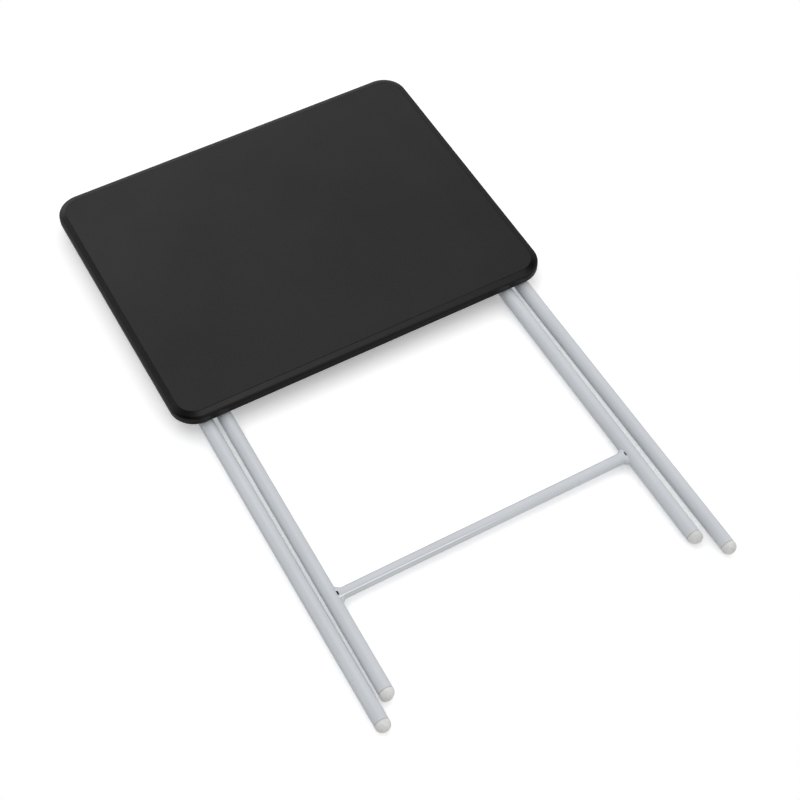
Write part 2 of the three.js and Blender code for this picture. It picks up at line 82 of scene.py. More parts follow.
def lean(ob):
    """The inner frame's feet stand a little to the left, within the slack of its rivets."""
    for v in ob.data.vertices:
        past = PIVOT_Y - (v.co.y / MM - BY)
        if past > 0:
            v.co.x -= FEET_LEAN * MM * past / (PIVOT_Y - FOOT_INNER_Y)
    ob.data.update()
    return ob


def leg_x(x0, y):
    return x0 + SPLAY * (SPLAY_Y - y)


# ---- mesh helpers ---------------------------------------------------------------------
def mesh_object(name, verts, faces):
    me = bpy.data.meshes.new(name)
    me.from_pydata((np.asarray(verts, float) * MM).tolist(), [], [tuple(f) for f in faces])
    me.update()
    ob = bpy.data.objects.new(name, me)
    scene.collection.objects.link(ob)
    return ob


def loft(rings, cap_start=True, cap_end=True, close=False, flip=False):
    """Quads between rings of equal length; the ends are closed by one face each."""
    n = len(rings[0])
    verts = [p for r in rings for p in r]
    faces = []
    pairs = [(k, k + 1) for k in range(len(rings) - 1)] + ([(len(rings) - 1, 0)] if close else [])
    for a, b in pairs:
        for i in range(n):
            j = (i + 1) % n
            f = (a * n + i, a * n + j, b * n + j, b * n + i)
            faces.append(f[::-1] if flip else f)
    if not close and cap_start:
        f = tuple(range(n))
        faces.append(f if flip else f[::-1])
    if not close and cap_end:
        last = (len(rings) - 1) * n
        f = tuple(range(last, last + n))
        faces.append(f[::-1] if flip else f)
    return verts, faces


def outward(ob):
    """Faces turned to point out of the closed body."""
    bm = bmesh.new()
    bm.from_mesh(ob.data)
    bmesh.ops.remove_doubles(bm, verts=bm.verts, dist=1e-7)
    bmesh.ops.recalc_face_normals(bm, faces=bm.faces)
    if bm.calc_volume(signed=True) < 0:
        bmesh.ops.reverse_faces(bm, faces=bm.faces)
    bm.to_mesh(ob.data)
    bm.free()
    ob.data.update()
    return ob


def apply_modifiers(ob):
    dg = bpy.context.evaluated_depsgraph_get()
    me = bpy.data.meshes.new_from_object(ob.evaluated_get(dg))
    old = ob.data
    ob.modifiers.clear()
    ob.data = me
    name = old.name
    bpy.data.meshes.remove(old)
    me.name = name
    return ob


def boolean(ob, cutters, operation="DIFFERENCE"):
    for c in cutters:
        outward(c)
        m = ob.modifiers.new("cut", "BOOLEAN")
        m.operation, m.object, m.solver = operation, c, "EXACT"
        apply_modifiers(ob)
        data = c.data
        bpy.data.objects.remove(c, do_unlink=True)
        bpy.data.meshes.remove(data)
    return ob


def shade(ob, angle=32.0):
    me = ob.data
    me.polygons.foreach_set("use_smooth", [True] * len(me.polygons))
    me.set_sharp_from_angle(angle=math.radians(angle))
    me.update()
    return ob


def bevel(ob, width, segments=3, angle=30.0):
    m = ob.modifiers.new("bevel", "BEVEL")
    m.width, m.segments = width * MM, segments
    m.limit_method, m.angle_limit = "ANGLE", math.radians(angle)
    m.use_clamp_overlap = True
    m.harden_normals = False
    return apply_modifiers(ob)


def lathe_rings(profile, sides, origin, axis, up):
    """Rings of a turned body: profile [(along, radius)], turned about axis through origin."""
    a = Vector(axis).normalized()
    u = Vector(up).normalized()
    w = a.cross(u)
    rings = []
    for s, r in profile:
        r = max(r, 1e-4)
        rings.append([tuple(Vector(origin) + a * s + (u * math.cos(t) + w * math.sin(t)) * r)
                      for t in (2 * math.pi * i / sides for i in range(sides))])
    return rings


def rod(profile, sides, origin, axis, up, name="cutter"):
    v, f = loft(lathe_rings(profile, sides, origin, axis, up))
    return outward(mesh_object(name, v, f))


def arc(cx, cy, r, a0, a1, n):
    return [(cx + r * math.cos(math.radians(a0 + (a1 - a0) * i / n)),
             cy + r * math.sin(math.radians(a0 + (a1 - a0) * i / n))) for i in range(n + 1)]


def prism_x(name, outline, x0, x1):
    """Outline in (y, z) extruded along X."""
    rings = [[(x, y, z) for y, z in outline] for x in (x0, x1)]
    v, f = loft(rings)
    return outward(mesh_object(name, v, f))


def finish(ob, body, nodes, material, sharp=32.0):
    shade(ob, sharp)
    ob.data.materials.clear()
    ob.data.materials.append(material)
    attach(ob, body)
    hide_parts(*nodes)
    return ob


# ======================================================================================
# Materials
# ======================================================================================
class Nodes:
    """A small wrapper that keeps the node trees below readable."""

    def __init__(self, name):
        self.mat = bpy.data.materials.new(name)
        self.mat.use_nodes = True
        self.t = self.mat.node_tree
        self.t.nodes.clear()
        self.out = self.t.nodes.new("ShaderNodeOutputMaterial")
        self.b = self.t.nodes.new("ShaderNodeBsdfPrincipled")
        self.t.links.new(self.b.outputs[0], self.out.inputs["Surface"])
        self.co = self.t.nodes.new("ShaderNodeTexCoord").outputs["Object"]

    def link(self, a, b):
        self.t.links.new(a, b)

    def node(self, kind, **props):
        n = self.t.nodes.new(kind)
        for k, v in props.items():
            setattr(n, k, v)
        return n

    def stretch(self, scale):
        n = self.node("ShaderNodeMapping")
        self.link(self.co, n.inputs["Vector"])
        n.inputs["Scale"].default_value = scale
        return n.outputs[0]

    def noise(self, scale, detail=2.0, rough=0.5, vector=None, distortion=0.0):
        n = self.node("ShaderNodeTexNoise")
        self.link(vector or self.co, n.inputs["Vector"])
        n.inputs["Scale"].default_value = scale
        n.inputs["Detail"].default_value = detail
        n.inputs["Roughness"].default_value = rough
        n.inputs["Distortion"].default_value = distortion
        return n.outputs[0]

    def voronoi(self, scale, feature="F1", vector=None, smooth=None):
        n = self.node("ShaderNodeTexVoronoi", feature=feature)
        self.link(vector or self.co, n.inputs["Vector"])
        n.inputs["Scale"].default_value = scale
        if smooth is not None and "Smoothness" in n.inputs:
            n.inputs["Smoothness"].default_value = smooth
        return n.outputs["Distance"]

    def rng(self, value, lo, hi, out_lo=0.0, out_hi=1.0):
        n = self.node("ShaderNodeMapRange")
        self.link(value, n.inputs["Value"])
        for k, v in zip(("From Min", "From Max", "To Min", "To Max"), (lo, hi, out_lo, out_hi)):
            n.inputs[k].default_value = v
        return n.outputs[0]

    def math(self, op, a, b=None, clamp=False):
        n = self.node("ShaderNodeMath", operation=op)
        n.use_clamp = clamp
        for i, v in enumerate((a, b)):
            if v is None:
                continue
            if isinstance(v, (int, float)):
                n.inputs[i].default_value = v
            else:
                self.link(v, n.inputs[i])
        return n.outputs[0]

    def mix(self, fac, a, b):
        n = self.node("ShaderNodeMix", data_type="RGBA")
        self.link(fac, n.inputs["Factor"])
        for sock, v in ((n.inputs[6], a), (n.inputs[7], b)):
            if isinstance(v, tuple):
                sock.default_value = (*v, 1.0)
            else:
                self.link(v, sock)
        return n.outputs[2]

    def axis(self, which):
        n = self.node("ShaderNodeSeparateXYZ")
        self.link(self.co, n.inputs[0])
        return n.outputs[which]

    def bump(self, height, distance, strength=1.0, normal=None):
        n = self.node("ShaderNodeBump")
        n.inputs["Strength"].default_value = strength
        n.inputs["Distance"].default_value = distance
        self.link(height, n.inputs["Height"])
        if normal is not None:
            self.link(normal, n.inputs["Normal"])
        return n.outputs[0]


def board_material(name, base, spec, rough, grain, handling=0.0, mottle=0.20):
    """Matte black film pressed with a very fine sandy grain."""
    m = Nodes(name)
    fine = m.noise(1150.0, 3.0, 0.62)
    pebble = m.voronoi(620.0, "SMOOTH_F1", smooth=0.6)
    blotch = m.noise(22.0, 3.0, 0.55)
    broad = m.noise(5.0, 2.0, 0.5)
    leather = m.noise(430.0, 2.0, 0.6)
    tone = m.math("ADD", m.math("MULTIPLY", blotch, 0.25), m.math("MULTIPLY", fine, 0.20))
    tone = m.math("ADD", tone, m.math("MULTIPLY", leather, 0.55))
    dark = tuple(c * (1.0 - mottle) for c in base)
    light = tuple(c * (1.0 + mottle * 1.1) for c in base)
    m.link(m.mix(m.rng(tone, 0.38, 0.62), dark, light), m.b.inputs["Base Color"])
    r = m.math("ADD", m.rng(broad, 0.3, 0.7, rough - 0.04, rough + 0.04), m.rng(fine, 0.3, 0.7, -0.05, 0.05))
    if handling:
        # the crown of the rounded edge is polished a little by hands and cloths
        z = m.axis(2)
        crown = m.math("MULTIPLY", m.rng(z, (TOP_Z - 6.0) * MM, (TOP_Z - 2.0) * MM), m.rng(m.noise(14.0, 3.0, 0.6), 0.35, 0.65))
        r = m.math("SUBTRACT", r, m.math("MULTIPLY", crown, handling))
    m.link(r, m.b.inputs["Roughness"])
    h = m.math("ADD", m.math("MULTIPLY", pebble, 0.55), m.math("MULTIPLY", fine, 0.6))
    m.link(m.bump(h, grain * MM, 0.8), m.b.inputs["Normal"])
    m.b.inputs["Specular IOR Level"].default_value = spec
    return m.mat


def paint_material(name, base, spec, rough, seam=None):
    """Light blue-grey powder coat: satin, with a shallow orange peel."""
    m = Nodes(name)
    peel = m.noise(420.0, 2.0, 0.45)
    fine = m.noise(1600.0, 2.0, 0.5)
    drift = m.noise(9.0, 2.0, 0.5)
    speck = m.noise(900.0, 1.0, 0.4)
    dark = tuple(c * 0.955 for c in base)
    light = tuple(min(1.0, c * 1.035) for c in base)
    colour = m.mix(m.rng(drift, 0.3, 0.7), dark, light)
    spots = m.math("MULTIPLY", m.rng(speck, 0.74, 0.80), 0.35)
    colour = m.mix(spots, colour, tuple(c * 0.72 for c in base))
    # faint handling scuffs, long and thin along the tubes
    scuff = m.noise(60.0, 4.0, 0.65, vector=m.stretch((9.0, 0.9, 9.0)))
    marks = m.math("MULTIPLY", m.rng(scuff, 0.66, 0.78), 0.30)
    colour = m.mix(marks, colour, tuple(c * 0.88 for c in base))
    if seam:
        # along the weld seam, parallel to X: the thin pale line on the ridge is a painted highlight, and the duller
        # band beside it is painted shade; both fade out towards the right
        y0, z0, x_full, x_gone = seam
        dy = m.math("SUBTRACT", m.axis(1), y0 * MM)
        dz = m.math("SUBTRACT", m.axis(2), z0 * MM)
        dist = m.math("SQRT", m.math("ADD", m.math("MULTIPLY", dy, dy), m.math("MULTIPLY", dz, dz)))
        along = m.rng(m.axis(0), x_full * MM, x_gone * MM, 1.0, 0.0)
        seam_painted_shade = m.math("MULTIPLY", m.rng(dist, 1.7 * MM, 2.6 * MM, 0.9, 0.0), along)
        colour = m.mix(seam_painted_shade, colour, tuple(c * 0.90 for c in base))
        ridge = m.math("MULTIPLY", m.rng(dist, 0.55 * MM, 0.85 * MM, 1.0, 0.0), along)
        colour = m.mix(ridge, colour, (0.83, 0.85, 0.87))
    m.link(colour, m.b.inputs["Base Color"])
    r = m.math("ADD", m.rng(m.noise(28.0, 3.0, 0.55), 0.3, 0.7, rough - 0.05, rough + 0.05), m.math("MULTIPLY", marks, 0.25))
    m.link(r, m.b.inputs["Roughness"])
    h = m.math("ADD", m.math("MULTIPLY", peel, 0.75), m.math("MULTIPLY", fine, 0.25))
    m.link(m.bump(h, 0.055 * MM, 0.55), m.b.inputs["Normal"])
    m.b.inputs["Specular IOR Level"].default_value = spec
    return m.mat


def plastic_material(name, base, rough, sss=0.0, grain=0.02, dirt=None, spec=0.5):
    """Moulded plastic: fine spark-eroded texture, faint flow marks."""
    m = Nodes(name)
    fine = m.noise(1300.0, 3.0, 0.6)
    flow = m.noise(70.0, 3.0, 0.6, distortion=0.6)
    dark = tuple(c * 0.90 for c in base)
    light = tuple(min(1.0, c * 1.08) for c in base)
    colour = m.mix(m.rng(flow, 0.3, 0.7), dark, light)
    r = m.math("ADD", m.rng(flow, 0.3, 0.7, rough - 0.05, rough + 0.05), m.rng(fine, 0.3, 0.7, -0.04, 0.04))
    if dirt:
        # scuffed where the dome meets the ground
        tip, fade, tint = dirt
        y = m.axis(1)
        near = m.rng(y, tip * MM, (tip + fade) * MM, 1.0, 0.0)
        grime = m.math("MULTIPLY", near, m.rng(m.noise(520.0, 4.0, 0.7), 0.46, 0.68))
        colour = m.mix(m.math("MULTIPLY", grime, 0.55), colour, tint)
        r = m.math("ADD", r, m.math("MULTIPLY", grime, 0.2))
    m.link(colour, m.b.inputs["Base Color"])
    m.link(r, m.b.inputs["Roughness"])
    m.link(m.bump(m.math("ADD", fine, m.math("MULTIPLY", flow, 0.4)), grain * MM, 0.6), m.b.inputs["Normal"])
    if sss:
        m.b.inputs["Subsurface Weight"].default_value = sss
        m.b.inputs["Subsurface Radius"].default_value = (1.0, 0.85, 0.7)
        m.b.inputs["Subsurface Scale"].default_value = 2.2 * MM
    m.b.inputs["Specular IOR Level"].default_value = spec
    return m.mat


def steel_material(name, base, rough):
    """Bright zinc plate with faint tool marks."""
    m = Nodes(name)
    patch = m.noise(260.0, 3.0, 0.6)
    scratch = m.noise(900.0, 2.0, 0.5, vector=m.stretch((1.0, 6.0, 1.0)))
    warm = tuple(c * k for c, k in zip(base, (1.0, 0.965, 0.90)))
    m.link(m.mix(m.rng(patch, 0.35, 0.65), base, warm), m.b.inputs["Base Color"])
    m.link(m.math("ADD", m.rng(patch, 0.3, 0.7, rough - 0.06, rough + 0.08), m.rng(scratch, 0.3, 0.7, -0.04, 0.04)), m.b.inputs["Roughness"])
    m.link(m.bump(scratch, 0.012 * MM, 0.6), m.b.inputs["Normal"])
    m.b.inputs["Metallic"].default_value = 1.0
    return m.mat


BLACK_EDGE = board_material("black_edge_film", (0.0026, 0.0025, 0.0025), 0.34, 0.30, 0.030, handling=0.05)
BLACK_FACE = board_material("black_top_film", (0.0041, 0.0038, 0.0038), 0.315, 0.46, 0.110, mottle=0.55)
PAINT = paint_material("powder_coat_blue_grey", (0.600, 0.625, 0.655), 0.5, 0.32)
SEAM_A = math.radians(50)
# the crossbar's coat carries a painted highlight along its weld seam, with painted shade beside it
PAINT_BAR_SEAM_HIGHLIGHT = paint_material("powder_coat_crossbar_painted_highlight", (0.600, 0.625, 0.655), 0.5, 0.32,
                           seam=(BAR_Y + BY - (BAR_R + 0.2) * math.cos(SEAM_A), AXIS_Z + (BAR_R + 0.2) * math.sin(SEAM_A), -48.0, 32.0))
# near black: painted shade, set on the end walls behind the crossbar's slots
SLOT_PAINTED_SHADE = plastic_material("painted_shade_slot_dark", (0.012, 0.0115, 0.011), 0.60, spec=0.3)
NYLON_BLACK = plastic_material("nylon_black", (0.014, 0.014, 0.0145), 0.46, grain=0.03)
NYLON_NATURAL = plastic_material("nylon_natural", (0.72, 0.71, 0.655), 0.42, sss=0.25)
STEEL = steel_material("zinc_plate", (0.60, 0.61, 0.62), 0.30)
CAP_OUTER = plastic_material("foot_plastic_outer", (0.69, 0.688, 0.672), 0.42, sss=0.12,
                             dirt=(FOOT_OUTER_Y + BY - CAP_R, 7.0, (0.36, 0.35, 0.33)))
CAP_INNER = plastic_material("foot_plastic_inner", (0.69, 0.688, 0.672), 0.42, sss=0.12,
                             dirt=(FOOT_INNER_Y + BY - CAP_R, 7.0, (0.36, 0.35, 0.33)))


# ======================================================================================
# Board
# ======================================================================================
def board_outline(inset, segments=28, edge=10):
    """Rounded rectangle in plan, with the straight sides divided so that shading stays even."""
    w, d, r = BOARD_W / 2 - inset, BOARD_D / 2 - inset, BOARD_R - inset
    corners = [(w - r, d - r, 0), (-(w - r), d - r, 90), (-(w - r), -(d - r), 180), (w - r, -(d - r), 270)]
    pts = []
    for k, (cx, cy, a0) in enumerate(corners):
        ring = arc(cx, cy, r, a0, a0 + 90, segments)
        pts += ring
        nx, ny, na = corners[(k + 1) % 4]
        end = arc(nx, ny, r, na, na + 90, segments)[0]
        for i in range(1, edge):
            t = i / edge
            pts.append((ring[-1][0] * (1 - t) + end[0] * t, ring[-1][1] * (1 - t) + end[1] * t))
    return pts


def board_body(name, profile, wander=None, edge=10):
    rings = []
    for inset, z in profile:
        ring = board_outline(inset, edge=edge)
        if wander:
            ring = [wander(x, y) for x, y in ring]
        rings.append([(x, y + BY, z) for x, y in ring])
    v, f = loft(rings)
    return outward(mesh_object(name, v, f))


# recess floor, recess wall, sloped start of the nose, rounded nose, side, lower arris, underside
core = [(RECESS_INSET + 1.6, TOP_Z - RECESS_DEPTH), (RECESS_INSET, TOP_Z - RECESS_DEPTH),
        (RECESS_INSET, TOP_Z - 0.20)]
tilt = math.radians(NOSE_TILT)
slope_w = NOSE_IN - NOSE_R * (1 - math.sin(tilt))
for t in (0.0, 0.35, 0.7):
    core.append((NOSE_IN - slope_w * t, TOP_Z - 0.02 - slope_w * t * math.tan(tilt)))
for i in range(0, 19):
    a = tilt + (math.pi / 2 - tilt) * i / 18
    core.append((NOSE_R * (1 - math.sin(a)), TOP_Z - 0.02 - slope_w * math.tan(tilt) - NOSE_R * (math.cos(tilt) - math.cos(a))))
for i in range(0, 9):
    a = math.pi / 2 * i / 8
    core.append((UNDER_R * (1 - math.cos(a)), UNDER_Z + UNDER_R * (1 - math.sin(a))))
core.append((UNDER_R + 1.5, UNDER_Z))
board = board_body("board_core_fine", core)
pilot = []
for s in (-1, 1):
    for d in (-1, 1):
        pilot.append((s * STRAP_X + d * STRAP_SCREW_DX, HINGE_Y + BY + STRAP_SCREW_Y))
        pilot.append((s * HOOK_X + d * (HOOK_W / 2 + HOOK_EAR_W / 2), CATCH_Y + BY - (STRAP_RI + HOOK_EAR_D / 2 - 0.5)))
boolean(board, [rod([(-4, 1.9), (10, 1.9), (10.9, 0.0)], 20, (x, y, UNDER_Z), (0, 0, 1), (1, 0, 0)) for x, y in pilot])
finish(board, "tabletop", ["board_core"], BLACK_EDGE, 28)

def joint(x, y):
    """The facing's cut edge wanders a little, so the joint around it opens and closes."""
    u = math.atan2(y, x)
    p = x * 0.11 + y * 0.13
    w = 0.055 * math.sin(p * 1.7 + 1.0) + 0.045 * math.sin(p * 4.3 + 0.4) + 0.035 * math.sin(p * 9.7 + 2.2) + 0.03 * math.sin(u * 3.0)
    r = math.hypot(x, y)
    if x > 0:  # pushed tight against the right-hand wall of the recess
        return x * (1 - 0.5 * w / r) + 0.17, y * (1 - w / r) + 0.10
    return x * (1 - w / r) - 0.10, y * (1 - w / r) + 0.10


facing = [(FACING_INSET + 2.0, TOP_Z)]
for i in range(0, 7):
    a = math.pi / 2 * i / 6
    facing.append((FACING_INSET + 0.30 * (1 - math.sin(a)), TOP_Z - 0.20 * (1 - math.cos(a))))
facing += [(FACING_INSET, TOP_Z - FACING_T), (FACING_INSET + 1.0, TOP_Z - FACING_T)]
top = board_body("top_facing_fine", facing, wander=joint, edge=90)
finish(top, "tabletop", ["top_facing"], BLACK_FACE, 40)


# ======================================================================================
# Tubular frames
# ======================================================================================
def u_stations(x0, top_y, end_y, bend_r, extra=(), n=26):
    """Half frame from foot to middle as (point, heading), mirrored to the other side."""
    corner = leg_x(x0, top_y)
    d = Vector((-SPLAY, 1.0, 0.0)).normalized()
    phi = math.atan2(d.y, d.x)
    turn = math.pi - phi
    t = bend_r * math.tan(turn / 2)
    start = Vector((corner, top_y, 0)) - d * t
    centre = start + Vector((-d.y, d.x, 0)) * bend_r
    st = [(Vector((leg_x(x0, y), y, 0)), d.copy()) for y in sorted([end_y, *extra])]
    for i in range(n + 1):
        h = phi + turn * i / n
        tan = Vector((math.cos(h), math.sin(h), 0))
        st.append((centre + Vector((tan.y, -tan.x, 0)) * bend_r, tan))
    x_mid = st[-1][0].x
    st += [(Vector((x_mid * k, top_y, 0)), Vector((-1, 0, 0))) for k in (0.66, 0.33)]
    other = [(Vector((-p.x, p.y, 0)), Vector((q.x, -q.y, 0))) for p, q in reversed(st)]
    mid = [(Vector((0, top_y, 0)), Vector((-1, 0, 0)))]
    return [(Vector((p.x, p.y + BY, AXIS_Z)), q) for p, q in st + mid + other]


def tube_rings(stations, sides, ro, ri, lip=0.18):
    def ring(p, t, r, shift=0.0):
        side = Vector((t.y, -t.x, 0)).normalized()
        c = p + t * shift
        return [tuple(c + side * (r * math.cos(a)) + Vector((0, 0, 1)) * (r * math.sin(a)))
                for a in (2 * math.pi * i / sides for i in range(sides))]
    (p0, t0), (p1, t1) = stations[0], stations[-1]
    rings = [ring(p0, t0, ro - lip), ring(p0, t0, ro, lip)]
    rings += [ring(p, t, ro) for p, t in stations[1:-1]]
    rings += [ring(p1, t1, ro, -lip), ring(p1, t1, ro - lip), ring(p1, t1, ri + lip), ring(p1, t1, ri, -lip)]
    rings += [ring(p, t, ri) for p, t in reversed(stations[1:-1])]
    rings += [ring(p0, t0, ri, lip), ring(p0, t0, ri + lip)]
    return rings


for frame_name, x0, top_y, foot_y, bend in (("outer", OUTER_X, HINGE_Y, FOOT_OUTER_Y, OUTER_BEND_R),
                                            ("inner", INNER_X, INNER_TOP_Y, FOOT_INNER_Y, INNER_BEND_R)):
    end_y = foot_y + CAP_SLEEVE + GAP
    marks = [PIVOT_Y - 9, PIVOT_Y + 9, -60.0, -280.0, -370.0, -454.0, -540.0]
    st = u_stations(x0, top_y, end_y, bend, marks)
    v, f = loft(tube_rings(st, 48, TUBE_R, TUBE_R - TUBE_WALL), close=True)
    tube = outward(mesh_object(f"{frame_name}_frame_tube_fine", v, f))
    px = leg_x(x0, PIVOT_Y)
    boolean(tube, [rod([(-14, RIVET_HOLE_R), (14, RIVET_HOLE_R)], 32, (s * px, PIVOT_Y + BY, AXIS_Z), (1, 0, 0), (0, 0, 1)) for s in (-1, 1)])
    if frame_name == "inner":
        lean(tube)
    finish(tube, f"{frame_name}_frame", [f"{frame_name}_frame_tube"], PAINT, 30)


# ---- foot caps ------------------------------------------------------------------------
def cap_profile():
    base = CAP_DOME - CAP_R
    p = [(-CAP_R - 0.18, 0.0), (-CAP_R - 0.18, 0.75), (-CAP_R - 0.02, 0.95)]     # moulding gate
    for i in range(2, 21):
        a = math.pi / 2 * i / 20
        p.append((base - CAP_DOME * math.cos(a), CAP_SIDE_R * math.sin(a)))
    p += [(base + 0.6, CAP_SIDE_R), (CAP_SLEEVE - 0.45, CAP_SIDE_R)]
    for i in range(1, 5):
        a = math.pi / 2 * i / 4
        p.append((CAP_SLEEVE - 0.45 + 0.45 * math.sin(a), CAP_SIDE_R - 0.45 * (1 - math.cos(a))))
    p += [(CAP_SLEEVE, CAP_PLUG_R), (CAP_SLEEVE + 1.2, CAP_PLUG_R - 0.15)]
    for k in range(4):                                                            # barbs inside the tube
        s = CAP_SLEEVE + 2.2 + 2.8 * k
        p += [(s, CAP_PLUG_R - 0.15), (s + 0.3, CAP_PLUG_R + 0.25), (s + 1.6, CAP_PLUG_R - 0.15)]
    p += [(CAP_SLEEVE + CAP_PLUG_LEN - 1.0, CAP_PLUG_R - 0.2), (CAP_SLEEVE + CAP_PLUG_LEN, CAP_PLUG_R - 1.2),
          (CAP_SLEEVE + CAP_PLUG_LEN, 4.6), (CAP_SLEEVE + 1.5, 4.4), (CAP_SLEEVE + 1.5, 0.0)]
    return p


for frame_name, x0, foot_y, cap_mat in (("outer", OUTER_X, FOOT_OUTER_Y, CAP_OUTER), ("inner", INNER_X, FOOT_INNER_Y, CAP_INNER)):
    for side, s in (("left", -1), ("right", 1)):
        axis = Vector((-s * SPLAY, 1, 0)).normalized()
        origin = (s * leg_x(x0, foot_y), foot_y + BY, AXIS_Z)
        rings = lathe_rings(cap_profile(), 48, origin, axis, (0, 0, 1))
        if frame_name == "inner":        # these domes lean a little outwards
            rings = [[(x + s * 1.5 * smooth((foot_y + BY - y) / CAP_R), y, z) for x, y, z in r] for r in rings]
        v, f = loft(rings)
        cap = outward(mesh_object(f"{frame_name}_foot_cap_{side}_fine", v, f))
        if frame_name == "inner":
            lean(cap)
        finish(cap, f"{frame_name}_frame", [f"{frame_name}_foot_cap_{side}"], cap_mat, 35)


# ======================================================================================
# Lower crossbar: a thinner tube whose ends are spread and shaped onto the legs
# ======================================================================================
FLARE_NEAR, FLARE_FAR = 8.6, 13.8     # distance from the leg's axis over which the end spreads
FLARE_W, FLARE_H = 10.6, 5.8
SLOT_HALF, SLOT_Y, SLOT_W = 2.6, 0.2, 2.2
SEAM_STEP, SEAM_H = 26, 0.32          # the tube's weld seam: which of the 72 sides, and how proud


def seam_left(x):
    """The seam is proud on the left and has been ground away towards the right."""
    return smooth((32.0 - x) / 80.0)


def with_seam(ring):
    ring = list(ring)
    for step, share in ((SEAM_STEP - 1, 0.12), (SEAM_STEP, 1.0), (SEAM_STEP + 1, 0.12)):
        x, y, z = ring[step]
        k = 1 + SEAM_H * share * seam_left(x) / BAR_R
        ring[step] = (x, BAR_Y + BY + (y - BAR_Y - BY) * k, AXIS_Z + (z - AXIS_Z) * k)
    return ring


def bar_point(side, s, theta, wall):
    """Point on the bar's skin at distance s from the leg's axis, at angle theta round it."""
    k = smooth((FLARE_FAR - s) / (FLARE_FAR - FLARE_NEAR))
    w = BAR_R + (FLARE_W - BAR_R) * k - wall
    h = BAR_R + (FLARE_H - BAR_R) * k - wall
    return w * math.cos(theta), h * math.sin(theta)


def bar_rings(side, wall, sides, steps):
    """Rings from the shaped end to the straight part, on one side of the bar."""
    reach = TUBE_R + 0.04
    ends = []
    for i in range(sides):
        th = 2 * math.pi * i / sides
        s = TUBE_R
        for _ in range(6):
            y, z = bar_point(side, s, th, wall)
            s = math.sqrt(max(reach * reach - z * z, 0.0))
        y, z = bar_point(side, s, th, wall)
        # an open slot is left in the top, where the end stops short of the leg
        if z > 0:
            edge = smooth((SLOT_HALF + 0.6 - abs(y - SLOT_Y)) / 1.2)
            s += SLOT_W * edge
        ends.append(s)
    rings = []
    far = FLARE_FAR + 2.0
    for j in range(steps + 1):
        t = (j / steps) ** 1.25
        ring = []
        for i in range(sides):
            th = 2 * math.pi * i / sides
            s = ends[i] + (far - ends[i]) * t
            y, z = bar_point(side, s, th, wall)
            x = side * (leg_x(INNER_X, BAR_Y + y) - s)
            ring.append((x, BAR_Y + BY + y, AXIS_Z + z))
        rings.append(ring)
    return rings


SIDES = 72
left_o, right_o = bar_rings(-1, 0.0, SIDES, 14), bar_rings(1, 0.0, SIDES, 14)
left_i, right_i = bar_rings(-1, BAR_WALL, SIDES, 14), bar_rings(1, BAR_WALL, SIDES, 14)
middle_o = [[(x, BAR_Y + BY + BAR_R * math.cos(2 * math.pi * i / SIDES), AXIS_Z + BAR_R * math.sin(2 * math.pi * i / SIDES)) for i in range(SIDES)] for x in (-145, -110, -80, -55, -35, -15, 5, 25, 45, 80, 110)]
ri = BAR_R - BAR_WALL
middle_i = [[(x, BAR_Y + BY + ri * math.cos(2 * math.pi * i / SIDES), AXIS_Z + ri * math.sin(2 * math.pi * i / SIDES)) for i in range(SIDES)] for x in (110, 55, 0, -55, -110)]
rings = left_o[:3] + [with_seam(r) for r in left_o[3:] + middle_o] + right_o[::-1] + right_i + middle_i + left_i[::-1]
v, f = loft(rings, close=True)
bar = outward(mesh_object("lower_crossbar_fine", v, f))
finish(lean(bar), "inner_frame", ["lower_crossbar"], PAINT_BAR_SEAM_HIGHLIGHT, 38)


def bar_end_wall(side):
    """The folded-in end wall behind the slot, close against the leg, coloured near black as painted shade for the
    inside of the bar.
    """
    rings = []
    for lift in (0.25, 0.55):
        reach = TUBE_R + lift
        outline = []
        for i in range(SIDES):
            th = 2 * math.pi * i / SIDES
            s = TUBE_R
            for _ in range(6):
                y, z = bar_point(side, s, th, 0.30)
                s = math.sqrt(max(reach * reach - z * z, 0.0))
            outline.append((y, z))
        for f in (0.2, 0.6, 0.985) if lift == 0.25 else (0.985, 0.6, 0.2):
            rings.append([(side * (leg_x(INNER_X, BAR_Y + y * f) - math.sqrt(reach * reach - z * z * f * f)), BAR_Y + BY + y * f, AXIS_Z + z * f) for y, z in outline])
    return rings


for side, s in (("left", -1), ("right", 1)):
    v, f = loft(bar_end_wall(s))
    w = outward(mesh_object(f"lower_crossbar_end_{side}", v, f))
    finish(lean(w), "inner_frame", ["lower_crossbar"], SLOT_PAINTED_SHADE, 38)


# ======================================================================================
# Scissor pivots: a shouldered rivet in two halves and a nylon washer on each side
# ======================================================================================
pivot_outer, pivot_inner = leg_x(OUTER_X, PIVOT_Y), leg_x(INNER_X, PIVOT_Y)
outer_in, outer_out = pivot_outer - TUBE_R, pivot_outer + TUBE_R
inner_in = pivot_inner - TUBE_R
split = outer_in - 2.3


def dome(x0, d, dimple):
    """Rivet head: a low dome with a soft rim; the formed end has a small dimple."""
    pts = [(x0, RIVET_HEAD_R - 0.25), (x0 + d * 0.12, RIVET_HEAD_R), (x0 + d * 0.55, RIVET_HEAD_R + 0.02)]
    for i in range(1, 13):
        a = math.pi / 2 * i / 12
        pts.append((x0 + d * (0.55 + (RIVET_HEAD_H - 0.55) * math.sin(a)), RIVET_HEAD_R * math.cos(a) ** 0.85 if i < 12 else 0.0))
    if dimple:
        pts = [p for p in pts if p[1] > 1.9]
        pts += [(x0 + d * (RIVET_HEAD_H - 0.05), 1.7), (x0 + d * (RIVET_HEAD_H - 0.35), 1.35), (x0 + d * (RIVET_HEAD_H - 0.95), 1.0), (x0 + d * (RIVET_HEAD_H - 1.05), 0.0)]
    return pts


